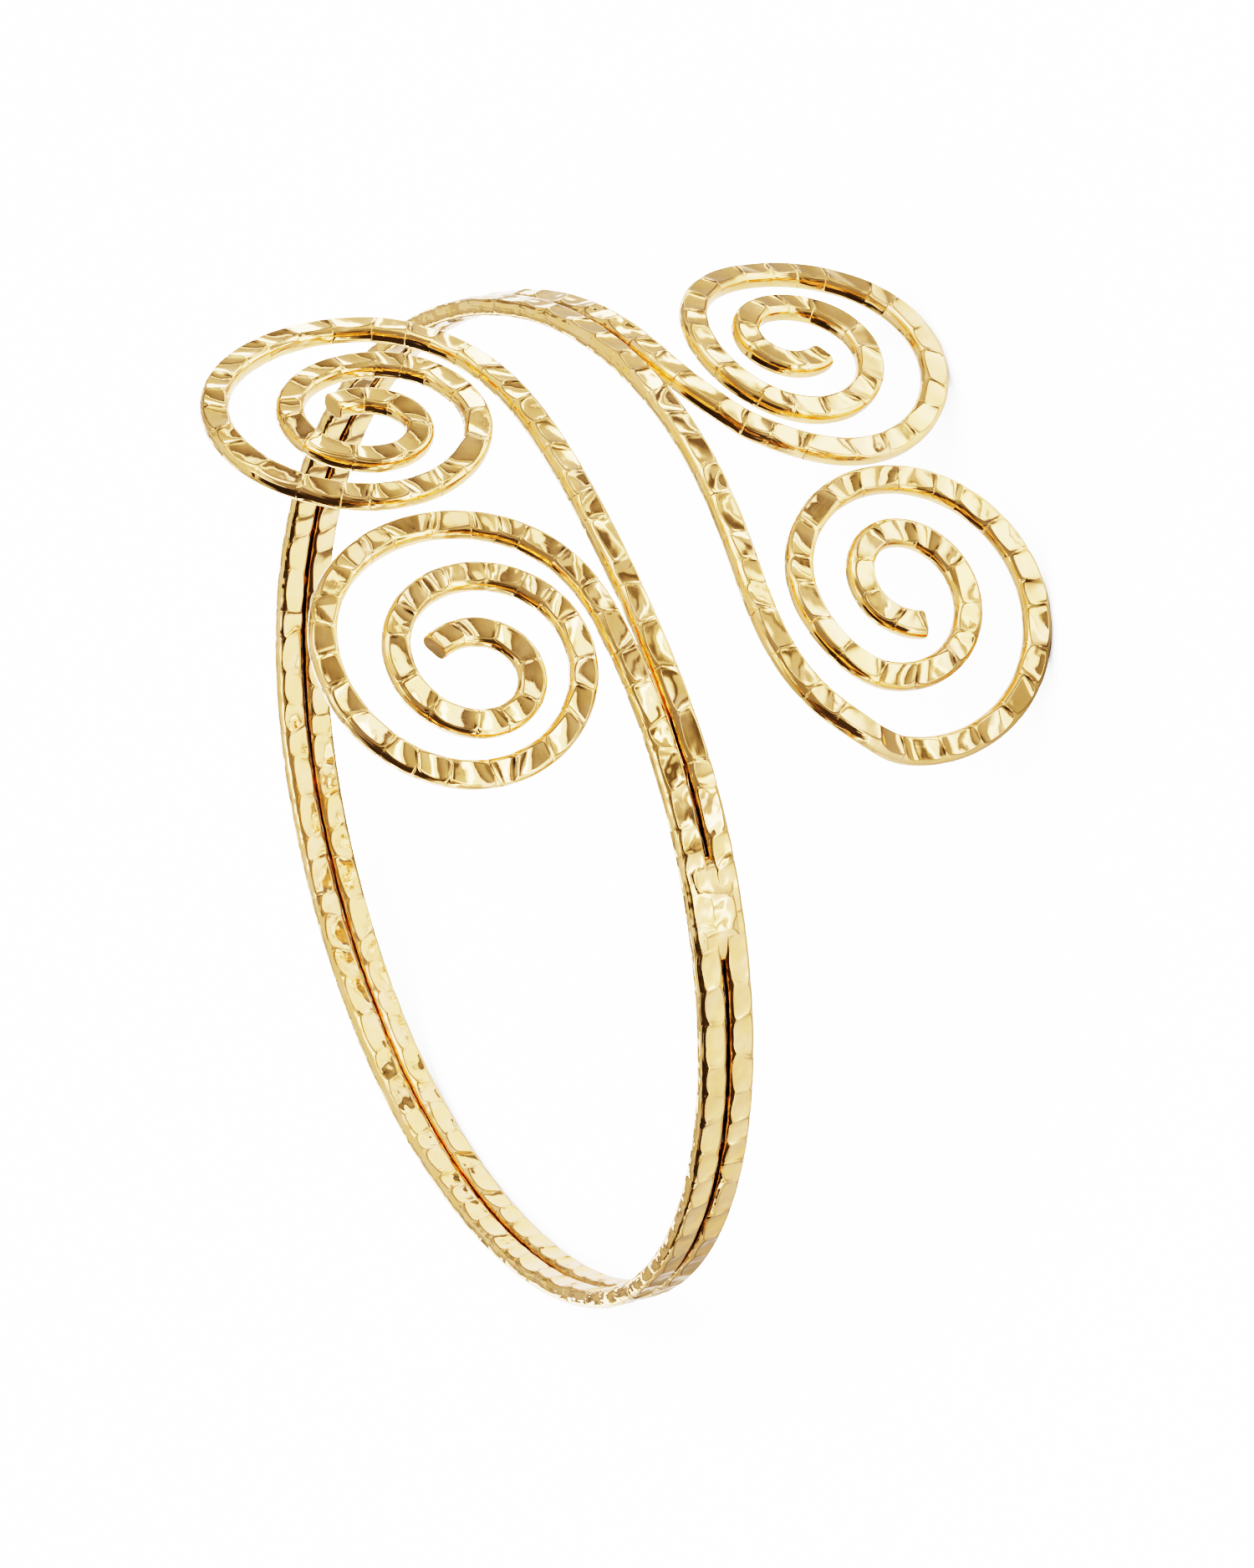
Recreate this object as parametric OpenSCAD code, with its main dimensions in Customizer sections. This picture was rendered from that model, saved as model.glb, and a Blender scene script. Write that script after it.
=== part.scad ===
// Upper arm cuff: two hammered wires side by side run round the arm, are soldered together
// near both ends, and part at each end into two flat scrolls. It lies on its side.

/* [Ring] */
// Radius that the ring's girth and oval are measured from
ring_r = 39.25; // [34:0.25:46]
// Sideways drift of the ring, in millimetres for each millimetre along it
ring_lead = 0.065; // [0.055:0.001:0.08]

/* [Wire] */
// Width of each wire across its hammered face
wire_w = 2.5; // [2:0.1:2.8]
// Thickness of each wire between its outer and inner face
wire_t = 1.9; // [1.5:0.1:2.2]
// Gap of the seam between the two wires
seam_gap = 0.12; // [0.08:0.02:0.2]

/* [Hammering] */
// Length of one hammered facet along the wire
facet_l = 3.2; // [3.2:0.1:5]
// Depth of a facet between the ridges at its two ends
facet_depth = 0.22; // [0.1:0.02:0.3]

/* [Scrolls] */
// Bend radius of the wire where a scroll begins
scroll_r = 11.75; // [11:0.25:13]

/* [Solder joints] */
// Length of the seam that each solder joint fills
joint_l = 9; // [5:0.5:14]
// Distance of a joint's middle from the front line, along the ring
joint_back = 38; // [34:0.5:60]

/* [Hidden] */

// Bend of the ring from the middle of its back to the front line and past it.
// Columns: distance from the back as a share of ring_r, bend as a share of 1 / ring_r.
RING_BEND = [[0, 0.823], [0.6, 0.787], [1.2, 1.182], [1.8, 0.95], [2.4, 0.796], [2.9, 1.155],
    [3.75, 0.356], [4.6, 0.312]];

// Bend radius of a scroll after each quarter turn inwards, as a share of scroll_r.
// Columns: turns from the scroll's start, bend radius.
SCROLL_BEND = [[0, 1], [0.25, 1.008], [0.5, 0.958], [0.75, 0.78], [1, 0.666], [1.25, 0.547],
    [1.5, 0.491], [1.75, 0.273], [2, 0.352], [2.25, 0.429]];

// One row for each scroll. Columns: the end of the ring that it is on (1, or -1 for the end
// turned over), its side of the seam, where its stem leaves the seam before the front line,
// the stem's length, the stem's bend at one and two thirds of that length, the scroll's turns,
// its size, how it falls away from the ring across the arm and twists along it, and how much
// wider than usual its inner turn is bent.
// Lengths are shares of scroll_r and bends shares of 1 / scroll_r; fall and twist are degrees.
END = 0;
SIDE = 1;
LEAVE = 2;
STEM = 3;
BEND_1 = 4;
BEND_2 = 5;
TURNS = 6;
SIZE = 7;
FALL = 8;
TWIST = 9;
INNER = 10;
SCROLLS = [
    [1, -1, 2.41, 4.48, -0.111, 0.034, 2.163, 1.028, 5.2, 0, 0.05],
    [1, 1, 1.81, 1.79, 0.021, 0.943, 2.179, 1.011, 6.0, 1.4, 0.10],
    [-1, 1, 1.34, 1.99, 1.145, 0.516, 2.088, 0.945, 4.0, -9.4, 0],
    [-1, -1, 1.74, 3.59, -0.112, -0.100, 2.161, 1.052, -2.6, -6.4, 0.02],
];
// Each wire runs from the scroll of one row to the scroll of the other.
WIRES = [[1, 3], [0, 2]];

// Turns after which the inner turn of a scroll begins, and turns that its change is spread over.
inner_from = 0.9;
inner_ease = 0.6;
// Width across the arm that a scroll's fall and its twist are eased in over.
fall_ease = 4;
twist_ease = 6;
// Twist axis of a scroll from the front line, for the seam's two sides, as shares of scroll_r.
TWIST_AXIS = [1, -0.875];
// Most edges that the cuff rolls over while it is set down.
most_rolls = 6;

// Steps that the paths are worked out in: one ring of the wire's section every half facet.
substeps = 4;
step = facet_l / 2 / substeps;
// Middle of a wire from the middle of the seam.
wire_off = (wire_w + seam_gap) / 2;
lead_angle = atan(ring_lead);

function unit(v) = v / norm(v);
function lerp(a, b, t) = a + (b - a) * t;
function clamp(x) = min(max(x, 0), 1);
function smooth(x) = let (t = clamp(x)) t * t * (3 - 2 * t);

// Path of the ring seen along the arm: x, y and heading, a step apart, from its back.
ring_steps = ceil(4.6 * ring_r / step);
ring_path = [
    for (i = 0, p = [-ring_r, 0, -90]; i <= ring_steps;
        p = let (
            bend = lookup((i + 0.5) * step / ring_r, RING_BEND) / ring_r,
            turn = bend * step * 180 / PI,
            mid = p[2] + turn / 2
        ) [p[0] + step * cos(mid), p[1] + step * sin(mid), p[2] + turn], i = i + 1) p
];
// Distance along the ring from its back to the front line, where it meets the x axis again.
front_i = [for (i = [ceil(ring_steps / 2) : ring_steps]) if (ring_path[i][1] >= 0) i][0];
front_s = step * (front_i - ring_path[front_i][1] / (ring_path[front_i][1] - ring_path[front_i - 1][1]));
function ring_at(s) = let (i = floor(s / step)) lerp(ring_path[i], ring_path[i + 1], s / step - i);

// Bend of one half of a wire at a distance along it and a heading in the flat pattern.
function wire_bend(row, d, turned) =
    let (stem = row[STEM] * scroll_r, u = d / stem, size = row[SIZE] * scroll_r)
    d < 0 ? 0 :
    u < 1 ? lookup(u, [[0, 0], [1 / 3, row[BEND_1] / scroll_r], [2 / 3, row[BEND_2] / scroll_r],
        [1, 1 / size]]) :
    1 / (size * lookup(turned / 360, SCROLL_BEND)
        * (1 + row[INNER] * clamp((turned / 360 - inner_from) / inner_ease)));

// Flat pattern of one half of a wire, from the ring's back to the scroll's inner end:
// distance round the arm, distance along the arm and heading.
function half_pattern(row) =
    let (
        leave = (front_s - row[LEAVE] * scroll_r) / cos(lead_angle),
        stem = row[STEM] * scroll_r
    )
    [
        for (k = 0, p = [0, row[SIDE] * wire_off / cos(lead_angle), lead_angle, 0];
            p[3] < row[TURNS] * 360;
            p = let (
                d = k * step - leave,
                turn = wire_bend(row, d + step / 2, p[3]) * step * 180 / PI,
                mid = p[2] + turn / 2
            ) [p[0] + step * cos(mid), p[1] + step * sin(mid), p[2] + turn,
                p[3] + (d > stem ? turn : 0)], k = k + 1) p
    ];

// Rise of the pattern from the ring's own surface at a point of a scroll.
function rise(row, s, z) =
    let (
        x = z - ring_lead * (front_s - scroll_r),
        fall = x < 0 ? 0 : x < fall_ease ? x * x / 2 / fall_ease : x - fall_ease / 2,
        axis = front_s + TWIST_AXIS[row[SIDE] < 0 ? 0 : 1] * scroll_r
    )
    -tan(row[FALL]) * fall + tan(row[TWIST]) * (s - axis) * smooth(x / twist_ease);

// Point and outward normal of the pattern wrapped round the arm.
function wrap(row, s, z) =
    let (
        r = ring_at(s),
        out = [sin(r[2]), -cos(r[2]), 0],
        along = [cos(r[2]), sin(r[2]), 0],
        h = rise(row, s, z),
        dh_s = rise(row, s + 0.5, z) - rise(row, s - 0.5, z),
        dh_z = rise(row, s, z + 0.5) - rise(row, s, z - 0.5)
    )
    [[r[0], r[1], z] + out * h, unit(out - along * dh_s - [0, 0, 1] * dh_z)];

// The end turned over is the same pattern after half a turn about the front line.
function turned_over(row, v) = row[END] > 0 ? v : [v[0], -v[1], -v[2]];

// Stations of one half of a wire, half a facet apart, with a last one at the cut end.
function half_stations(row) =
    let (
        p = half_pattern(row),
        n = len(p) - 1,
        picks = [for (k = [0 : substeps : n]) k],
        ends = n - picks[len(picks) - 1] > 1 ? concat(picks, [n]) : picks
    )
    [for (k = ends) let (w = wrap(row, p[k][0], p[k][1])) [for (v = w) turned_over(row, v)]];

function backwards(list) = [for (i = [len(list) - 1 : -1 : 0]) list[i]];

// Stations of a whole wire: the half on the end turned over, then the other half.
function wire_stations(w) =
    let (near = half_stations(SCROLLS[w[0]]), far = half_stations(SCROLLS[w[1]]))
    concat(backwards(far), [for (i = [1 : len(near) - 1]) near[i]]);

// Eight-sided section of a wire. A ridge is narrow and full, a facet's middle is wide and low.
function wire_section(low) =
    let (
        flat = lerp(0.52, 0.8, low) * wire_w / 2,
        top = wire_t / 2 - facet_depth * low,
        side = wire_t * 0.22
    )
    [[flat, top], [wire_w / 2, side], [wire_w / 2, -side], [flat, -top],
        [-flat, -top], [-wire_w / 2, -side], [-wire_w / 2, side], [-flat, top]];

// Ring of section points at one station of a path.
function section_at(path, i, section) =
    let (
        n = len(path) - 1,
        ahead = unit(path[min(i + 1, n)][0] - path[max(i - 1, 0)][0]),
        across = unit(cross(ahead, path[i][1])),
        out = cross(across, ahead)
    )
    [for (c = section) path[i][0] + across * c[0] + out * c[1]];

// Depth of a facet: every second station is its middle, and no two are struck alike.
function struck(i) = i % 2 == 0 ? 0 : 0.8 + 0.2 * sin(137 * i);

stations = [for (w = WIRES) wire_stations(w)];
wire_rings = [
    for (path = stations)
        [for (i = [0 : len(path) - 1]) section_at(path, i, wire_section(struck(i)))]
];

// Solder joint: a bar that fills the seam, its two ends drawn in round.
// Columns: place along half of the bar, width and thickness, as shares.
JOINT_SHAPE = [[-1, 0.5, 0.6], [-0.85, 0.9, 0.9], [-0.4, 1, 1], [0.4, 1, 1], [0.85, 0.9, 0.9], [1, 0.5, 0.6]];
joint_w = wire_w * 0.72;
joint_t = wire_t - 1.5 * facet_depth;
function joint_path(end) =
    [
        for (j = JOINT_SHAPE)
            let (
                s = front_s - joint_back + j[0] * joint_l / 2,
                w = wrap(SCROLLS[0], s, ring_lead * s)
            )
            end > 0 ? w : [for (v = w) [v[0], -v[1], -v[2]]]
    ];
function joint_section(j) =
    let (a = joint_w / 2 * j[1], b = joint_t / 2 * j[2])
    [[a * 0.6, b], [a, b * 0.5], [a, -b * 0.5], [a * 0.6, -b],
        [-a * 0.6, -b], [-a, -b * 0.5], [-a, b * 0.5], [-a * 0.6, b]];
joint_rings = [
    for (end = [1, -1])
        let (path = joint_path(end))
        [for (i = [0 : len(path) - 1]) section_at(path, i, joint_section(JOINT_SHAPE[i]))]
];

// Resting plane. The cuff is set down on its lowest point and rolls over its edges
// until its centre of mass stands over three points that touch the ground.
cloud = [for (rings = wire_rings) for (ring = rings) for (v = ring) v];
centres = [for (path = stations) for (p = path) p[0]];
mass = [for (a = [0 : 2]) [for (c = centres) c[a]] * [for (c = centres) 1] / len(centres)];
function lowest(values) = search(min(values), values)[0];
function roll(p, q, up, left) =
    let (
        edge = unit(q - p),
        g = cross(up, edge),
        over = g * sign((mass - p) * g),
        angles = [for (v = cloud) let (d = v - p) d * over > 0.5 ? atan2(d * up, d * over) : 180],
        r = cloud[lowest(angles)],
        m = unit(cross(edge, r - p)),
        new_up = m * sign(m * up),
        off_q = cross(new_up, r - q),
        off_p = cross(new_up, r - p),
        past_q = (off_q * (mass - q)) * (off_q * (p - q)) < 0,
        past_p = (off_p * (mass - p)) * (off_p * (q - p)) < 0
    )
    left == 0 || !(past_q || past_p) ? new_up :
    past_q ? roll(q, r, new_up, left - 1) : roll(p, r, new_up, left - 1);
first = cloud[lowest([for (v = cloud) v[2]])];
toward = unit([mass[0] - first[0], mass[1] - first[1], 0]);
first_angles = [for (v = cloud) let (d = v - first) d * toward > 0.5 ? atan2(d[2], d * toward) : 180];
second = cloud[lowest(first_angles)];
level = unit(cross([0, 0, 1], second - first));
up = roll(first, second, unit(cross(second - first, level)), most_rolls);

// Frame of the part: Z up, and the scrolls face -Y.
face = unit([1, 0, 0] - up * up[0]);
axes = [cross(up, face), -face, up];
function laid(v) = [for (a = axes) a * v];
laid_cloud = [for (v = cloud) laid(v)];
function span(a) = let (c = [for (v = laid_cloud) v[a]]) [min(c), max(c)];
origin = [(span(0)[0] + span(0)[1]) / 2, (span(1)[0] + span(1)[1]) / 2, span(2)[0]];
function placed(v) = laid(v) - origin;

// Closed skin through rings of equally many points.
module skin(rings) {
    m = len(rings[0]);
    n = len(rings);
    points = [for (ring = rings) for (v = ring) placed(v)];
    sides = [
        for (i = [0 : n - 2])
            for (j = [0 : m - 1])
                let (a = i * m + j, b = i * m + (j + 1) % m)
                each [[a, a + m, b], [b, a + m, b + m]]
    ];
    caps = [[for (j = [0 : m - 1]) j], [for (j = [m - 1 : -1 : 0]) (n - 1) * m + j]];
    polyhedron(points, concat(sides, caps));
}

module cuff() {
    color("gold") {
        for (rings = wire_rings) skin(rings);
        for (rings = joint_rings) skin(rings);
    }
}

cuff();
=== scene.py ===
import math
import random
from types import SimpleNamespace

import bmesh
import bpy
import numpy as np
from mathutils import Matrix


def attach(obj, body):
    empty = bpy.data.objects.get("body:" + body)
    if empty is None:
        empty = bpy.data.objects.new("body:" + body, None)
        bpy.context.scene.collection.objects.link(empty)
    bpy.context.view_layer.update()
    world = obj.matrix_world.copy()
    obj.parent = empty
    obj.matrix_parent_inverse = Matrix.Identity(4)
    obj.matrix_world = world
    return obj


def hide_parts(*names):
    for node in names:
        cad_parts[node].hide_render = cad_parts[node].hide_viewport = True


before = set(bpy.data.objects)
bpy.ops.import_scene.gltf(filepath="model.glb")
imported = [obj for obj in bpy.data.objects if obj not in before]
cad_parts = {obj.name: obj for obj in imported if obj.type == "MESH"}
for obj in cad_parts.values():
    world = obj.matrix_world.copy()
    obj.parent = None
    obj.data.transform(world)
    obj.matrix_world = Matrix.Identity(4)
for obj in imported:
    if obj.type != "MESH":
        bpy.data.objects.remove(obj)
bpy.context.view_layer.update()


# Two wires: their bends
# Two gold-coloured wires lie side by side round the arm, and part at each end of the band
# into flat scrolls of a little over two turns. Each is bent cold from one straight length.
# Lengths are in millimetres. The lower end is laid out like the upper one and turned over.
MM = 0.001
STEP = 0.1
RING_R = 39.25
RING_LEAD = 0.065
WIRE_W = 2.5
WIRE_T = 1.9
SEAM_GAP = 0.12
SCROLL_R = 11.75
# Distance from the ring's back as a share of RING_R, and bend there as a share of 1 / RING_R
RING_BEND = ((0, 0.6, 1.2, 1.8, 2.4, 2.9, 3.75, 4.6),
             (0.823, 0.787, 1.182, 0.95, 0.796, 1.155, 0.356, 0.312))
# Turns from a scroll's start, and its bend radius there as a share of SCROLL_R
SCROLL_TURNS = (0, 0.25, 0.5, 0.75, 1, 1.25, 1.5, 1.75, 2, 2.25)
SCROLL_BEND = (1, 1.008, 0.958, 0.78, 0.666, 0.547, 0.491, 0.273, 0.352, 0.429)
# One row for each scroll: the end of the ring that it is on and its side of the seam, where its
# stem leaves the seam before the front, the stem's length and bends, the scroll's turns and
# size, how it falls away and twists in degrees, and how much wider its inner turn is bent.
# Lengths are shares of SCROLL_R and bends shares of 1 / SCROLL_R.
SCROLLS = {
    "top_right": dict(end=1, side=-1, leave=2.41, stem=4.48, bends=(-0.111, 0.034),
                      turns=2.163, size=1.028, fall=5.2, twist=0, inner=0.05),
    "top_left": dict(end=1, side=1, leave=1.81, stem=1.79, bends=(0.021, 0.943),
                     turns=2.179, size=1.011, fall=6.0, twist=1.4, inner=0.10),
    "bottom_right": dict(end=-1, side=1, leave=1.34, stem=1.99, bends=(1.145, 0.516),
                         turns=2.088, size=0.945, fall=4.0, twist=-9.4, inner=0),
    "bottom_left": dict(end=-1, side=-1, leave=1.74, stem=3.59, bends=(-0.112, -0.100),
                        turns=2.161, size=1.052, fall=-2.6, twist=-6.4, inner=0.02),
}
INNER_FROM = 0.9
INNER_EASE = 0.6
FALL_EASE = 4
TWIST_EASE = 6
# Twist axis of a scroll past the front, for each side of the seam, as a share of SCROLL_R
TWIST_AXIS = {-1: 1, 1: -0.875}
JOINT_L = 9.0
JOINT_BACK = 38.0
JOINT_INSET = 0.4
JOINT_FADE = 1.4
CLOSING_L = 3
LEAD_ANGLE = math.atan(RING_LEAD)
# The way up and the frame's origin, on the ring's own axes, for the cuff as it lies on its side
RESTING_UP = np.array((0.364511, 0.147108, 0.919506))
RESTING_ORIGIN = np.array((0.0146405, -6.18809, -17.3178))

ring_steps = int(RING_BEND[0][-1] * RING_R / STEP)
ring_s = np.arange(ring_steps + 1) * STEP
ring_turn = np.interp((ring_s[:-1] + STEP / 2) / RING_R, *RING_BEND) / RING_R * STEP
ring_head = -math.pi / 2 + np.append(0, np.cumsum(ring_turn))
ring_x = -RING_R + np.append(0, np.cumsum(STEP * np.cos(ring_head[:-1] + ring_turn / 2)))
ring_y = np.append(0, np.cumsum(STEP * np.sin(ring_head[:-1] + ring_turn / 2)))
past = ring_steps // 2 + int(np.argmax(ring_y[ring_steps // 2:] >= 0))
front_s = ring_s[past] - STEP * ring_y[past] / (ring_y[past] - ring_y[past - 1])

resting_face = np.array((1, 0, 0)) - RESTING_UP * RESTING_UP[0]
resting_face /= np.linalg.norm(resting_face)
resting_axes = np.array((np.cross(RESTING_UP, resting_face), -resting_face, RESTING_UP))


def flat_bend(scroll):
    """Half a wire laid flat: way round the arm, way along it, and where it leaves the seam."""
    leave = (front_s - scroll["leave"] * SCROLL_R) / math.cos(LEAD_ANGLE)
    stem = scroll["stem"] * SCROLL_R
    size = scroll["size"] * SCROLL_R
    stem_at = (0, 1 / 3, 2 / 3, 1)
    stem_bend = (0, scroll["bends"][0] / SCROLL_R, scroll["bends"][1] / SCROLL_R, 1 / size)
    s, z = [0.0], [scroll["side"] * (WIRE_W + SEAM_GAP) / 2 / math.cos(LEAD_ANGLE)]
    heading, turned, d = LEAD_ANGLE, 0.0, -leave
    while turned < scroll["turns"] * 2 * math.pi:
        if d + STEP / 2 < 0:
            turn = 0.0
        elif d + STEP / 2 < stem:
            turn = float(np.interp((d + STEP / 2) / stem, stem_at, stem_bend)) * STEP
        else:
            radius = size * float(np.interp(turned / 2 / math.pi, SCROLL_TURNS, SCROLL_BEND))
            inward = min(max((turned / 2 / math.pi - INNER_FROM) / INNER_EASE, 0), 1)
            wider = 1 + scroll["inner"] * inward
            turn = STEP / (radius * wider)
            turned += turn
        s.append(s[-1] + STEP * math.cos(heading + turn / 2))
        z.append(z[-1] + STEP * math.sin(heading + turn / 2))
        heading += turn
        d += STEP
    return np.array(s), np.array(z), leave


def lift(scroll, s, z):
    """Height of a scroll's plane above the ring's own surface: it falls away and twists."""
    x = z - RING_LEAD * (front_s - SCROLL_R)
    fall = np.where(x < FALL_EASE, x * x / 2 / FALL_EASE, x - FALL_EASE / 2) * (x > 0)
    axis = front_s + TWIST_AXIS[scroll["side"]] * SCROLL_R
    ease = np.clip(x / TWIST_EASE, 0, 1)
    twist = math.tan(math.radians(scroll["twist"])) * (s - axis) * ease * ease * (3 - 2 * ease)
    return twist - math.tan(math.radians(scroll["fall"])) * fall


def round_the_arm(scroll, s, z):
    """Points and outward directions of the flat bends once they are round the arm and laid down."""
    head = np.interp(s, ring_s, ring_head)
    out = np.stack((np.sin(head), -np.cos(head), 0 * s), 1)
    along = np.stack((np.cos(head), np.sin(head), 0 * s), 1)
    across = np.array((0, 0, 1.0))
    ds = lift(scroll, s + 0.5, z) - lift(scroll, s - 0.5, z)
    dz = lift(scroll, s, z + 0.5) - lift(scroll, s, z - 0.5)
    points = np.stack((np.interp(s, ring_s, ring_x), np.interp(s, ring_s, ring_y), z), 1)
    points += out * lift(scroll, s, z)[:, None]
    facing = out - along * ds[:, None] - across * dz[:, None]
    facing /= np.linalg.norm(facing, axis=1, keepdims=True)
    if scroll["end"] < 0:
        points, facing = points * (1, -1, -1), facing * (1, -1, -1)
    return points @ resting_axes.T - RESTING_ORIGIN, facing @ resting_axes.T


def wire_run(far, near):
    """One wire from its far scroll to its near one: points, outward directions, and from 0 to 1
    how closed the seam beside it is and how far it lies in a solder joint."""
    halves = []
    for name in (far, near):
        s, z, leave = flat_bend(SCROLLS[name])
        points, facing = round_the_arm(SCROLLS[name], s, z)
        closed = np.clip((leave - np.arange(len(s)) * STEP) / CLOSING_L + 0.5, 0, 1)
        inside = JOINT_L / 2 - JOINT_INSET - np.abs(s - front_s + JOINT_BACK)
        joined = np.clip(inside / JOINT_FADE, 0, 1)
        halves.append((points, facing, closed, joined * joined * (3 - 2 * joined)))
    return [np.concatenate((a[::-1], b[1:])) for a, b in zip(*halves)]


# Two wires: their gold
# The wires are plated yellow after the hammering and polished bright. The polish leaves fine
# lines along them, burnishes high spots paler and leaves some brown compound in the seam. The
# compound's colour also paints shade in the seam's groove and beside the crests, and darkens the face
# edges.
NODE_W = 200
NODE_H = 170


def socket(group, name, kind, way="INPUT", default=None):
    made = group.interface.new_socket(name=name, in_out=way, socket_type="NodeSocket" + kind)
    if default is not None:
        made.default_value = default


def node(tree, kind, place, **values):
    """A shader node in a column and row of the editor; in_3=0.5 sets its socket number 3."""
    made = tree.nodes.new("ShaderNode" + kind)
    made.location = (place[0] * NODE_W, -place[1] * NODE_H)
    for key, value in values.items():
        if key.startswith("in_"):
            made.inputs[int(key[3:])].default_value = value
        else:
            setattr(made, key, value)
    return made


def join(tree, *pairs):
    for start, end in pairs:
        tree.links.new(start, end)


polish = bpy.data.node_groups.new("hammered_polish", "ShaderNodeTree")
socket(polish, "Metal", "Color", default=(0.90, 0.505, 0.185, 1))
socket(polish, "Burnished", "Color", default=(0.94, 0.55, 0.245, 1))
# Dark brown of polishing compound; the same colour also paints shade in the seam, beside the crests and
# along the face edges
socket(polish, "Compound And Shade", "Color", default=(0.03, 0.018, 0.009, 1))
socket(polish, "Cloud Scale", "Float", default=420.0)
socket(polish, "Lump Scale", "Float", default=620.0)
socket(polish, "Lump Depth", "Float", default=0.5)
socket(polish, "Line Spread", "Vector", default=(60.0, 60.0, 1.0))
socket(polish, "Line Depth", "Float", default=0.12)
socket(polish, "Gloss", "Float", default=0.055)
socket(polish, "Colour", "Color", "OUTPUT")
socket(polish, "Roughness", "Float", "OUTPUT")
socket(polish, "Normal", "Vector", "OUTPUT")
given = node(polish, "TexCoord", (0, 3))
polish_in = polish.nodes.new("NodeGroupInput")
polish_out = polish.nodes.new("NodeGroupOutput")
polish_in.location, polish_out.location = (-300, 0), (1700, 0)
clouds = node(polish, "TexNoise", (1, 0), in_3=3.0)
lumps = node(polish, "TexNoise", (1, 1), in_3=1.0, in_4=0.4)
spread = node(polish, "VectorMath", (1, 2), operation="MULTIPLY")
lines = node(polish, "TexNoise", (2, 2), in_2=1.0, in_3=3.0)
seam = node(polish, "Attribute", (1, 4), attribute_name="seam")
flank = node(polish, "Attribute", (4, 4), attribute_name="flank")
band = node(polish, "Attribute", (3, 5), attribute_name="band")
on_band = node(polish, "Math", (4, 5), operation="MULTIPLY_ADD", in_1=2.5, in_2=1.0)
lump_depth = node(polish, "Math", (5, 5), operation="MULTIPLY")
long_way = node(polish, "VectorMath", (1, 5), operation="MULTIPLY", in_1=(34, 12, 1))
drawn = node(polish, "TexNoise", (2, 5), in_2=1.0, in_3=1.0)
draw_lines = node(polish, "Bump", (7, 4))
draw_lines.inputs["Distance"].default_value = 0.00006
burnish = node(polish, "MapRange", (2, 0), in_1=0.42, in_2=0.66)
paler = node(polish, "Mix", (3, 0), data_type="RGBA")
patchy = node(polish, "MapRange", (2, 4), in_1=0.15, in_2=0.45)
# Where the seam mask is set, the dark compound colour is mixed in: real compound and painted shade
grime_and_shade = node(polish, "Math", (3, 4), operation="MULTIPLY", use_clamp=True)
dirty_and_shaded = node(polish, "Mix", (4, 0), data_type="RGBA")
dull = node(polish, "MapRange", (3, 2), in_1=0.4, in_2=0.7, in_3=0.0, in_4=0.05)
gloss = node(polish, "Math", (4, 2), operation="ADD")
rough = node(polish, "Math", (5, 2), operation="MULTIPLY_ADD", in_1=0.2)
soft_lumps = node(polish, "Bump", (5, 3))
soft_lumps.inputs["Distance"].default_value = 0.0001
fine_lines = node(polish, "Bump", (6, 3))
fine_lines.inputs["Distance"].default_value = 0.00001
join(polish,
     (given.outputs["Object"], clouds.inputs["Vector"]),
     (polish_in.outputs["Cloud Scale"], clouds.inputs["Scale"]),
     (given.outputs["Object"], lumps.inputs["Vector"]),
     (polish_in.outputs["Lump Scale"], lumps.inputs["Scale"]),
     (given.outputs["UV"], spread.inputs[0]),
     (polish_in.outputs["Line Spread"], spread.inputs[1]),
     (spread.outputs["Vector"], lines.inputs["Vector"]),
     (clouds.outputs["Fac"], burnish.inputs["Value"]),
     (burnish.outputs[0], paler.inputs[0]),
     (polish_in.outputs["Metal"], paler.inputs[6]),
     (polish_in.outputs["Burnished"], paler.inputs[7]),
     (lumps.outputs["Fac"], patchy.inputs["Value"]),
     (seam.outputs["Fac"], grime_and_shade.inputs[0]),
     (patchy.outputs[0], grime_and_shade.inputs[1]),
     (grime_and_shade.outputs[0], dirty_and_shaded.inputs[0]),
     (paler.outputs[2], dirty_and_shaded.inputs[6]),
     (polish_in.outputs["Compound And Shade"], dirty_and_shaded.inputs[7]),
     (dirty_and_shaded.outputs[2], polish_out.inputs["Colour"]),
     (lines.outputs["Fac"], dull.inputs["Value"]),
     (dull.outputs[0], gloss.inputs[0]),
     (polish_in.outputs["Gloss"], gloss.inputs[1]),
     (grime_and_shade.outputs[0], rough.inputs[0]),
     (gloss.outputs[0], rough.inputs[2]),
     (rough.outputs[0], polish_out.inputs["Roughness"]),
     (lumps.outputs["Fac"], soft_lumps.inputs["Height"]),
     (band.outputs["Fac"], on_band.inputs[0]),
     (on_band.outputs[0], lump_depth.inputs[0]),
     (polish_in.outputs["Lump Depth"], lump_depth.inputs[1]),
     (lump_depth.outputs[0], soft_lumps.inputs["Strength"]),
     (lines.outputs["Fac"], fine_lines.inputs["Height"]),
     (polish_in.outputs["Line Depth"], fine_lines.inputs["Strength"]),
     (soft_lumps.outputs[0], fine_lines.inputs["Normal"]),
     (given.outputs["UV"], long_way.inputs[0]),
     (long_way.outputs[0], drawn.inputs["Vector"]),
     (drawn.outputs["Fac"], draw_lines.inputs["Height"]),
     (flank.outputs["Fac"], draw_lines.inputs["Strength"]),
     (fine_lines.outputs[0], draw_lines.inputs["Normal"]),
     (draw_lines.outputs[0], polish_out.inputs["Normal"]))


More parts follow.
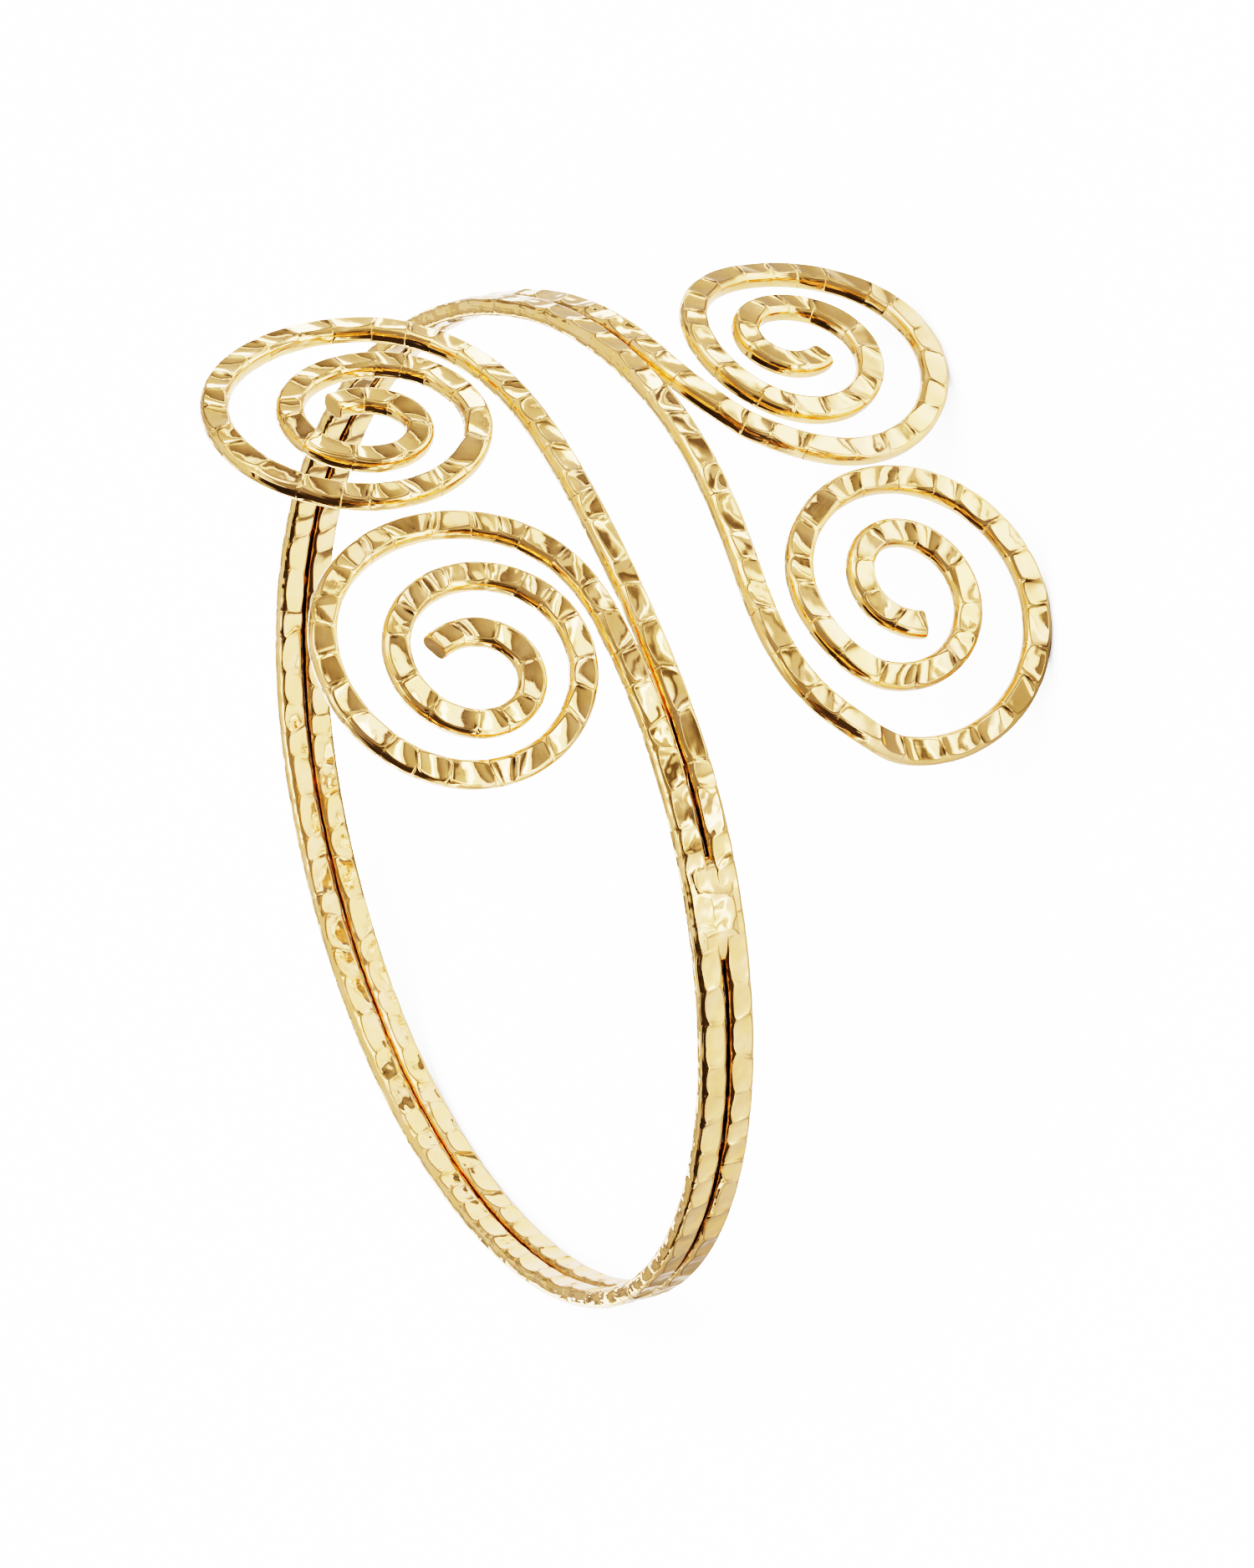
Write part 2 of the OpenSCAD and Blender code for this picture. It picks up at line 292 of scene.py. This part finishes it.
def gold(name, **values):
    """A metal finish of the hammered polish with its own values."""
    made = bpy.data.materials.new(name)
    made.use_nodes = True
    shader = made.node_tree.nodes["Principled BSDF"]
    shader.inputs["Metallic"].default_value = 1.0
    look = made.node_tree.nodes.new("ShaderNodeGroup")
    look.node_tree = polish
    look.location = (-300, 200)
    for key, value in values.items():
        look.inputs[key.replace("_", " ")].default_value = value
    join(made.node_tree,
         (look.outputs["Colour"], shader.inputs["Base Color"]),
         (look.outputs["Roughness"], shader.inputs["Roughness"]),
         (look.outputs["Normal"], shader.inputs["Normal"]))
    return made


wire_gold = gold("wire_gold")


# Two wires: their hammering
# Blow after blow on the outer and the inner face left a flat dish with a short slope at both
# ends, a crisp crest between two dishes and round sides. The wires' ends are cut square.
FACET_L = 3.1
LENGTH_LUCK = 0.32
CREST_ROWS = (0, 0.07, 0.16, 0.29)
DISH_ROWS = (0.15, 0.25, 0.37, 0.5, 0.63, 0.75, 0.85)


def rings_along(length, pitch, luck):
    """Rings along a bar, close together at each crest: the blow that each lies in, how far
    through the blow it is, how far from the nearest ridge, and how far along the bar."""
    blows = max(2, round(length / pitch))
    lengths = np.array([1 + luck.uniform(-LENGTH_LUCK, LENGTH_LUCK) for _ in range(blows)])
    ridges = np.append(0, np.cumsum(lengths)) * length / lengths.sum()
    lengths = np.diff(ridges)
    blow, through = [], []
    for number in range(blows):
        near = [c / lengths[number] for c in CREST_ROWS]
        row = near + list(DISH_ROWS) + [1 - c for c in near[:0:-1]]
        blow += [number] * len(row)
        through += row
    blow, through = np.array(blow + [blows - 1]), np.array(through + [1.0])
    to_ridge = np.minimum(through, 1 - through) * lengths[blow]
    return SimpleNamespace(blows=blows, blow=blow, through=through, to_ridge=to_ridge,
                           middle=ridges[blow] + through * lengths[blow])


# Columns of places across a face, and round a side, as shares
FACE_ACROSS = np.array((-1, -0.88, -0.62, -0.32, 0, 0.32, 0.62, 0.88, 1))
SIDE_ROUND = np.array((0.07, 0.2, 0.36, 0.5, 0.64, 0.8, 0.93))
ROUNDNESS = 2.7
FACET_DEPTH = 0.2
# How one ridge differs from the next: how low it lies, leans, slants and bows across the face,
# how high its crest is, and which side of it has a crease line of painted shade
RIDGE_LUCK = dict(low=(0.03, 0.08), lean=(-0.04, 0.04), skew=(-0.5, 0.5), bow=(-0.12, 0.12),
                  crest=(0.03, 0.09), mark=(-1, 1))
# How one blow differs from the next: its depth, its tilt across and rise along the wire, and how
# far its first and last slopes reach into the dish
BLOW_LUCK = dict(deep=(0.6, 1.2), tilt=(-0.1, 0.1), rise=(-0.9, 0.9), first=(0.2, 0.8),
                 first_skew=(-0.22, 0.22), last=(0.2, 0.8), last_skew=(-0.22, 0.22))
BOW_REST = 0.4
SLOPE_REACH = (0.12, 0.9)
DISH_SQUARE = 1.8
BOWL = 0.32
CREST_W = 0.12
CREST_CALM = 0.75
# The crease values set thin lines of painted shade in the creases beside the crests
CREASE_MARK = 0.3
CREASE_SLANT = 1.6
CREASE_AT = 0.17
CREASE_W = 0.11
CREASE_CALM = 0.6
JOINT_CALM = 0.8
JOINT_SINK = 0.09
EDGE_GUESS = 0.7
EDGE_TRIES = 6
EDGE_LIMITS = (0.05, 0.999)


def struck_face(rings, half_t, depth, luck):
    """One face after its blows: places across, out and along the bar, a row for each ring, then
    how strong the painted shade lines in the creases beside the crests are and which way they slant."""
    k, f, wide = rings.blow, rings.through, rings.wide
    ridge = np.array([[luck.uniform(*reach) for reach in RIDGE_LUCK.values()]
                      + [luck.choice((-CREASE_SLANT, CREASE_SLANT))] for _ in range(rings.blows + 1)])
    ridge[0, 1:] = ridge[-1, 1:] = 0
    blow = np.array([[luck.uniform(*reach) for reach in BLOW_LUCK.values()]
                     for _ in range(rings.blows)])
    blow[:, 0] *= depth
    low, lean, skew, bow = (ridge[k, :4] * (1 - f)[:, None] + ridge[k + 1, :4] * f[:, None]).T
    nearest = np.where(f < 0.5, k, k + 1)
    crest = ridge[nearest, 4] * np.exp(-(rings.to_ridge / CREST_W) ** 2)
    crest *= 1 - CREST_CALM * rings.on_band
    # Painted shade lines beside the crests: on which side of a ridge, and how strong
    marked = np.where(f < 0.5, ridge[k, 5] > -CREASE_MARK, ridge[k + 1, 5] < CREASE_MARK)
    crease = marked * np.exp(-((rings.to_ridge - CREASE_AT) / CREASE_W) ** 2)
    crease *= 1 - CREASE_CALM * rings.on_band
    deep, tilt, rise, first, first_skew, last, last_skew = blow[k].T

    def top_at(t):
        """Height of the struck face at places across it, one row of places for each ring."""
        before = np.clip(first[:, None] + first_skew[:, None] * t, *SLOPE_REACH)
        after = np.clip(last[:, None] + last_skew[:, None] * t, *SLOPE_REACH)
        down = 1 - (1 - np.clip(f[:, None] / before, 0, 1)) ** DISH_SQUARE
        up = 1 - (1 - np.clip((1 - f[:, None]) / after, 0, 1)) ** DISH_SQUARE
        bowl = 1 - BOWL * (t / wide[:, None]) ** 2
        dish = deep[:, None] * bowl * (1 + rise[:, None] * (f[:, None] - 0.5)) - tilt[:, None] * t
        dish = (down * up * dish - crest[:, None]) * (1 - JOINT_CALM * rings.joined[:, None])
        sunk = JOINT_SINK * rings.joined[:, None]
        return half_t - low[:, None] - lean[:, None] * t - dish - sunk

    # The face's edges lie where it meets the round sides, found by trying again from inside them
    edges = []
    for side in (-1, 1):
        t = side * EDGE_GUESS * wide
        for _ in range(EDGE_TRIES):
            share = top_at(t[:, None])[:, 0] * rings.ends / rings.thick
            share = np.clip(share, *EDGE_LIMITS)
            t = side * wide * (1 - share ** ROUNDNESS) ** (1 / ROUNDNESS)
        edges.append(np.abs(t[:, None]))
    t = np.where(FACE_ACROSS < 0, *edges) * FACE_ACROSS
    places = np.stack((t, top_at(t) * rings.ends[:, None],
                       skew[:, None] * t + bow[:, None] * (t * t - BOW_REST)))
    return places, crease[:, None], ridge[nearest, 6][:, None]


def bent_power(value, power):
    return np.sign(value) * np.abs(value) ** power


def round_side(rings, start, stop):
    """The round side from the edge of one face to the edge of the other: places across, out and
    along the bar."""
    (t0, z0, u0), (t1, z1, u1) = start, stop
    wide, thick = rings.wide, rings.thick
    a0 = np.arctan2(bent_power(z0 / thick, ROUNDNESS / 2), bent_power(t0 / wide, ROUNDNESS / 2))
    a1 = np.arctan2(bent_power(z1 / thick, ROUNDNESS / 2), bent_power(t1 / wide, ROUNDNESS / 2))
    turn = a1 - a0
    turn -= 2 * math.pi * np.round(turn / (2 * math.pi))
    a = a0[:, None] + turn[:, None] * SIDE_ROUND
    return np.stack((wide[:, None] * bent_power(np.cos(a), 2 / ROUNDNESS),
                     thick[:, None] * bent_power(np.sin(a), 2 / ROUNDNESS),
                     u0[:, None] * (1 - SIDE_ROUND) + u1[:, None] * SIDE_ROUND))


CUT_ROUND = 0.1
# Only the bar's two end faces have more corners than this
CAP_CORNERS = 8


def skin(name, place, masks, square_cut):
    """A strip rolled round the bar, its rims merged and its two ends filled, with its masks."""
    rows, cols = place.shape[:2]
    bm = bmesh.new()
    bm.loops.layers.uv.new("wire")
    bmesh.ops.create_grid(bm, x_segments=cols - 1, y_segments=rows - 1, size=1, calc_uvs=True)
    corner = min(v.co.x for v in bm.verts)
    layers = {key: bm.verts.layers.float.new(key) for key in masks}
    for v in bm.verts:
        row = round((v.co.y - corner) / (-2 * corner) * (rows - 1))
        col = round((v.co.x - corner) / (-2 * corner) * (cols - 1))
        for key, layer in layers.items():
            v[layer] = masks[key][row, col]
        v.co = place[row, col] * MM
    bmesh.ops.remove_doubles(bm, verts=bm.verts, dist=1e-7)
    rims = [e for e in bm.edges if e.is_boundary]
    bmesh.ops.edgeloop_fill(bm, edges=rims)
    for face in bm.faces:
        face.smooth = True
    if square_cut:
        bmesh.ops.bevel(bm, geom=rims, offset=CUT_ROUND * MM, segments=2, profile=0.5,
                        affect="EDGES", material=-1)
    for face in bm.faces:
        if len(face.verts) > CAP_CORNERS:
            face.smooth = False
    bmesh.ops.recalc_face_normals(bm, faces=bm.faces)
    mesh = bpy.data.meshes.new(name)
    bm.to_mesh(mesh)
    bm.free()
    made = bpy.data.objects.new(name, mesh)
    bpy.context.scene.collection.objects.link(made)
    return made


SPREAD = 0.015
END_LEAST = 0.12
SEAM_FROM = 0.87
SEAM_FADE = 0.09
BACK_L = 60
BACK_DIRT_AND_SHADE = 0.35
CREASE_REACH = 0.35
CREASE_SHADE = 1.6
EDGE_DARKENING = 0.65


def hammered_bar(name, run, half_w, half_t, seed, to_seam=(0, 0, 0), pitch=FACET_L,
                 depth=FACET_DEPTH, taper=0.0):
    """A bar that follows a run and is struck in dishes on both faces, closed at its ends."""
    points, facing, closed, joined = run
    way = np.append(0, np.cumsum(np.linalg.norm(np.diff(points, axis=0), axis=1)))
    ahead = np.gradient(points, axis=0)
    ahead /= np.linalg.norm(ahead, axis=1, keepdims=True)
    across = np.cross(ahead, facing)
    across /= np.linalg.norm(across, axis=1, keepdims=True)
    outward = np.cross(across, ahead)

    luck = random.Random(seed)
    rings = rings_along(way[-1], pitch, luck)
    rings.ends = np.ones_like(rings.middle)
    if taper:
        from_end = np.minimum(rings.middle, way[-1] - rings.middle) / taper
        rings.ends = np.sqrt(np.clip(1 - np.clip(1 - from_end, 0, 1) ** 2, END_LEAST, 1))
    swell = 1 - (2 * rings.through - 1) ** 2
    rings.wide = half_w * (1 - SPREAD + SPREAD * swell) * rings.ends
    rings.thick = half_t * rings.ends
    rings.joined = np.interp(rings.middle, way, joined)
    rings.on_band = np.ones_like(rings.middle) if taper else np.interp(rings.middle, way, closed)

    # Round the bar: outer face, round side, inner face, round side, and back to the first column
    outer, *outer_crease = struck_face(rings, half_t, depth, luck)
    inner, *inner_crease = struck_face(rings, half_t, depth, luck)
    inner = inner[:, :, ::-1] * np.array((1, -1, 1))[:, None, None]
    t, z, u = np.concatenate((outer, round_side(rings, outer[:, :, -1], inner[:, :, 0]),
                              inner, round_side(rings, inner[:, :, -1], outer[:, :, 0]),
                              outer[:, :, :1]), 2)
    u = np.clip(u + rings.middle[:, None], 0, way[-1])
    place = np.stack([np.interp(u, way, points[:, a]) + t * np.interp(u, way, across[:, a])
                      + z * np.interp(u, way, outward[:, a]) for a in range(3)], 2)
    columns = (len(FACE_ACROSS), len(SIDE_ROUND), len(FACE_ACROSS), len(SIDE_ROUND), 1)
    struck = np.repeat((1.0, 0, 1, 0, 1), columns)
    edge = np.concatenate((FACE_ACROSS, 0 * SIDE_ROUND, FACE_ACROSS, 0 * SIDE_ROUND, [1]))

    # Polishing compound, most in the seam near the joints, where it also stands for the groove's shade;
    # a little painted shade in the creases beside the crests, and a little darkening along the face
    # edges
    side = -1 if np.dot(across[len(way) // 2], to_seam) < 0 else 1
    # Darker in the seam, most near the joints: polishing compound, and painted shade in the groove
    # between the wires
    dirt_and_shade = np.clip((side * t / half_w - SEAM_FROM) / SEAM_FADE, 0, 1) * np.interp(u, way, closed)
    dirt_and_shade *= np.clip(np.abs(u - way[-1] / 2) / BACK_L, BACK_DIRT_AND_SHADE, 1)
    # Painted shade in thin lines beside the crests, on the marked side of each ridge
    crease = np.where(z > 0, *(line * np.clip(CREASE_REACH + slant * t / rings.wide[:, None], 0, 1)
                               for line, slant in (outer_crease, inner_crease)))
    dirt_and_shade = np.maximum(dirt_and_shade, np.clip(CREASE_SHADE * struck * crease, 0, 1))
    # Darker along each face edge, where it meets the round side
    dirt_and_shade = np.maximum(dirt_and_shade, EDGE_DARKENING * (np.abs(edge) == 1))
    masks = dict(seam=dirt_and_shade, flank=0 * t + (1 - struck), band=0 * t + rings.on_band[:, None])
    return skin(name, place, masks, square_cut=not taper)


HIDDEN = 0.03
band_back, _ = round_the_arm(SCROLLS["top_left"], np.array([0.0]), np.array([0.0]))
for name, far, near, seed in (("left_wire", "bottom_left", "top_left", 3),
                              ("right_wire", "bottom_right", "top_right", 8)):
    run = wire_run(far, near)
    to_seam = band_back[0] - run[0][len(run[0]) // 2]
    wire = hammered_bar(name, run, WIRE_W / 2 - HIDDEN, WIRE_T / 2 - HIDDEN, seed, to_seam)
    wire.data.materials.append(wire_gold)
    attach(wire, "root")
    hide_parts("cuff")


# Solder joints
# Solder fills the seam for nine millimetres near each end of the band and holds the two wires
# together. It was hammered, plated and polished with them, and its ends run out round.
SOLDER_W = WIRE_W * 0.96
SOLDER_PITCH = 2.7
SOLDER_DEPTH = 0.12
SOLDER_END = 1.3
joint_gold = gold("joint_gold", Metal=(0.90, 0.50, 0.185, 1), Gloss=0.075, Lump_Scale=420.0,
                  Lump_Depth=0.9, Line_Spread=(40.0, 3.0, 1.0))
for name, end, seed in (("top_solder_joint", "top_right", 5), ("bottom_solder_joint", "bottom_left", 6)):
    s = front_s - JOINT_BACK + np.arange(-JOINT_L / 2, JOINT_L / 2 + STEP, STEP)
    points, facing = round_the_arm(SCROLLS[end], s, RING_LEAD * s)
    joint = hammered_bar(name, (points, facing, 0 * s, 0 * s), SOLDER_W, WIRE_T / 2 - HIDDEN, seed,
                         pitch=SOLDER_PITCH, depth=SOLDER_DEPTH, taper=SOLDER_END)
    joint.data.materials.append(joint_gold)
    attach(joint, "root")
    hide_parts("cuff")


# Floor
# The cuff lies on a plain sheet of white paper, plain white to the camera. The colour that the
# polished gold mirrors is painted: painted shadow, darker near the cuff and in soft patches, a
# painted dark table past its edge and a painted black screen at the far left.
FLOOR_R = 2.5
# Distance from the cuff in metres, and painted shadow tone there as the gold mirrors it; the end stops
# of a ramp come first
PAPER_SHADOW_TONES = ((0.04, 0.08), (1.0, 0.56), (0.12, 0.19), (0.3, 0.28))
bm = bmesh.new()
bmesh.ops.create_circle(bm, cap_ends=True, segments=96, radius=FLOOR_R)
floor_mesh = bpy.data.meshes.new("floor")
bm.to_mesh(floor_mesh)
bm.free()
floor = bpy.data.objects.new("floor", floor_mesh)
bpy.context.scene.collection.objects.link(floor)


def grey(tone):
    return (tone, tone, tone, 1)


def set_ramp(ramp, tones):
    """Puts grey tones on a colour ramp: the first two take the stops that it starts with."""
    for stop, (position, tone) in zip(ramp.elements, tones):
        stop.position, stop.color = position, grey(tone)
    for position, tone in tones[2:]:
        ramp.elements.new(position).color = grey(tone)


paper = bpy.data.materials.new("white_paper")
paper.use_nodes = True
paper_shader = paper.node_tree.nodes["Principled BSDF"]
paper_shader.inputs["Roughness"].default_value = 0.9
sheet = paper.node_tree
spot = node(sheet, "TexCoord", (-8, 0))
reach = node(sheet, "VectorMath", (-6, 0), operation="LENGTH")
falling = node(sheet, "ValToRGB", (-5, 0))
set_ramp(falling.color_ramp, PAPER_SHADOW_TONES)
# Painted shadow in soft patches on the paper, seen only in the gold
shifted = node(sheet, "VectorMath", (-7, 1), operation="ADD", in_1=(0.31, 0.17, 0))
shadow_blots = node(sheet, "TexNoise", (-6, 1), in_2=11.0, in_3=0.0)
shadow_blotted = node(sheet, "MapRange", (-5, 1), in_1=0.47, in_2=0.51, in_3=0.19, in_4=1.35)
far_off = node(sheet, "MapRange", (-5, 2), in_1=0.32, in_2=0.5)
even = node(sheet, "Mix", (-4, 2), in_3=1.0)
# Fewer painted shadow patches beside the band, and a dark painted shadow patch in front of the cuff
from_band = node(sheet, "VectorMath", (-7, 3), operation="DISTANCE", in_1=(-0.075, -0.025, 0))
beside_band = node(sheet, "MapRange", (-6, 3), in_1=0.06, in_2=0.04)
clear = node(sheet, "Mix", (-4, 3), in_3=0.55)
from_front = node(sheet, "VectorMath", (-7, 4), operation="DISTANCE", in_1=(0.0, -0.3, 0))
in_front = node(sheet, "MapRange", (-6, 4), in_1=0.22, in_2=0.16, in_3=1.0, in_4=0.12)
shadow_patches = node(sheet, "Math", (-3, 3), operation="MULTIPLY")
cloudy = node(sheet, "Mix", (-2, 1), data_type="RGBA", blend_type="MULTIPLY", in_0=1.0)
# A painted dark table past the paper's edge and a painted black screen at the far left, seen only in the
# gold
to_edge = node(sheet, "VectorMath", (-7, 5), operation="DOT_PRODUCT", in_1=(0.98, -0.17, 0))
past_edge = node(sheet, "MapRange", (-6, 5), in_1=0.27, in_2=0.275)
painted_table = node(sheet, "Mix", (-2, 2), data_type="RGBA", in_7=grey(0.04))
to_screen = node(sheet, "VectorMath", (-7, 6), operation="DOT_PRODUCT", in_1=(-0.85, 0.53, 0))
past_screen = node(sheet, "MapRange", (-6, 6), in_1=0.2, in_2=0.26)
painted_screen = node(sheet, "Mix", (-2, 3), data_type="RGBA", in_7=grey(0.012))
# Only the camera sees plain white paper; the gold mirrors the painted shadows, table and screen
seen = node(sheet, "LightPath", (-2, 4))
white = node(sheet, "Mix", (-1, 0), data_type="RGBA", in_7=grey(0.6))
join(sheet,
     (spot.outputs["Object"], reach.inputs[0]),
     (reach.outputs["Value"], falling.inputs["Fac"]),
     (spot.outputs["Object"], shifted.inputs[0]),
     (shifted.outputs[0], shadow_blots.inputs["Vector"]),
     (shadow_blots.outputs["Fac"], shadow_blotted.inputs["Value"]),
     (reach.outputs["Value"], far_off.inputs["Value"]),
     (far_off.outputs[0], even.inputs[0]),
     (shadow_blotted.outputs[0], even.inputs[2]),
     (spot.outputs["Object"], from_band.inputs[0]),
     (from_band.outputs["Value"], beside_band.inputs["Value"]),
     (beside_band.outputs[0], clear.inputs[0]),
     (even.outputs[0], clear.inputs[2]),
     (spot.outputs["Object"], from_front.inputs[0]),
     (from_front.outputs["Value"], in_front.inputs["Value"]),
     (clear.outputs[0], shadow_patches.inputs[0]),
     (in_front.outputs[0], shadow_patches.inputs[1]),
     (falling.outputs["Color"], cloudy.inputs[6]),
     (shadow_patches.outputs[0], cloudy.inputs[7]),
     (spot.outputs["Object"], to_edge.inputs[0]),
     (to_edge.outputs["Value"], past_edge.inputs["Value"]),
     (past_edge.outputs[0], painted_table.inputs[0]),
     (cloudy.outputs[2], painted_table.inputs[6]),
     (spot.outputs["Object"], to_screen.inputs[0]),
     (to_screen.outputs["Value"], past_screen.inputs["Value"]),
     (past_screen.outputs[0], painted_screen.inputs[0]),
     (painted_table.outputs[2], painted_screen.inputs[6]),
     (seen.outputs["Is Camera Ray"], white.inputs[0]),
     (painted_screen.outputs[2], white.inputs[6]),
     (white.outputs[2], paper_shader.inputs["Base Color"]))
floor_mesh.materials.append(paper)


# Room, light and camera
# One wide soft light hangs over the sheet. The gold mirrors the room: a pale sweep up to the
# horizon, a thin dark line over it, grey walls, and soft bright and dark panels.
WALL_LIGHT = 4
BACKDROP = 12.0
ROOM_LIGHT = 0.78
# Upward part of a direction plus a half, so that 0.5 is the horizon, and tone there
WALL_TONES = ((0.5, 0.9), (0.88, 0.32), (0.503, 0.01), (0.522, 0.01), (0.526, 0.08), (0.6, 0.14),
              (0.7, 0.2), (0.84, 0.2))
# Columns: azimuth and elevation of a panel's middle, where it starts and stops to fade, tone
PANELS = (
    (-125, 55, 24, 28, 0.62),
    (-170, 50, 36, 42, 0.42),
    (150, 12, 33, 38, 0.09),
    (-172, 20, 20, 25, 0.11),
    (118, 3, 17, 21, 0.09),
    (115, 31, 15, 19, 0.06),
    (20, 28, 9, 13, 0.34),
    (-52, 50, 22, 24, 1.6),
    (-48, 56, 2, 20, 6.0),
    (-57, 14, 6, 8, 2.6),
    (112, 62, 15, 17, 1.6),
    (110, 66, 1, 15, 6.0),
)
studio = bpy.data.worlds.new("studio")
studio.use_nodes = True
room = studio.node_tree
room.nodes.clear()
looking = node(room, "TexCoord", (0, 0))
apart = node(room, "SeparateXYZ", (1, 0))
to_sweep = node(room, "VectorMath", (1, 2), operation="DOT_PRODUCT", in_1=(-0.42, -0.91, 0))
sweep = node(room, "MapRange", (2, 2), interpolation_type="SMOOTHSTEP",
             in_1=0.6, in_2=0.7, in_3=0.5, in_4=0.41)
above = node(room, "Math", (3, 2), operation="ADD")
walls = node(room, "ValToRGB", (4, 2))
set_ramp(walls.color_ramp, WALL_TONES)
lit = node(room, "VectorMath", (5, 2), operation="MULTIPLY", in_1=(WALL_LIGHT,) * 3)
join(room,
     (looking.outputs["Generated"], apart.inputs[0]),
     (looking.outputs["Generated"], to_sweep.inputs[0]),
     (to_sweep.outputs["Value"], sweep.inputs["Value"]),
     (sweep.outputs[0], above.inputs[0]),
     (apart.outputs["Z"], above.inputs[1]),
     (above.outputs[0], walls.inputs["Fac"]),
     (walls.outputs["Color"], lit.inputs[0]))
shade = lit.outputs[0]
for azimuth, elevation, inner, outer, tone in PANELS:
    a, e = math.radians(azimuth), math.radians(elevation)
    to_panel = (math.cos(a) * math.cos(e), math.sin(a) * math.cos(e), math.sin(e))
    towards = node(room, "VectorMath", (1, 1), operation="DOT_PRODUCT", in_1=to_panel)
    fading = node(room, "MapRange", (2, 1), interpolation_type="SMOOTHSTEP",
                  in_1=math.cos(math.radians(outer)), in_2=math.cos(math.radians(inner)))
    over = node(room, "Mix", (3, 1), data_type="RGBA", in_7=grey(tone))
    join(room,
         (looking.outputs["Generated"], towards.inputs[0]),
         (towards.outputs["Value"], fading.inputs["Value"]),
         (fading.outputs[0], over.inputs[0]),
         (shade, over.inputs[6]))
    shade = over.outputs[2]
seen = node(room, "LightPath", (3, 3))
plain = node(room, "Mix", (5, 1), data_type="RGBA", in_7=grey(BACKDROP))
light = node(room, "Background", (6, 1), in_1=ROOM_LIGHT)
room_out = node(room, "OutputWorld", (7, 1))
join(room,
     (shade, plain.inputs[6]),
     (seen.outputs["Is Camera Ray"], plain.inputs[0]),
     (plain.outputs[2], light.inputs["Color"]),
     (light.outputs[0], room_out.inputs["Surface"]))
bpy.context.scene.world = studio
bpy.context.scene.view_settings.view_transform = "Filmic"
bpy.context.scene.view_settings.look = "Very High Contrast"

overhead = bpy.data.lights.new("overhead", "AREA")
overhead.shape = "DISK"
overhead.size = 2.6
overhead.energy = 600
soft_light = bpy.data.objects.new("overhead", overhead)
soft_light.location = (-0.1, -0.15, 1.2)
soft_light.visible_glossy = False
bpy.context.scene.collection.objects.link(soft_light)

lens = bpy.data.cameras.new("camera")
lens.sensor_width = 36
lens.lens = 177.914
camera = bpy.data.objects.new("camera", lens)
camera.rotation_mode = "QUATERNION"
camera.location = (-0.385300, -0.351841, 0.431722)
camera.rotation_quaternion = (0.412972, 0.415285, 0.113106, -0.802620)
bpy.context.scene.collection.objects.link(camera)
bpy.context.scene.camera = camera
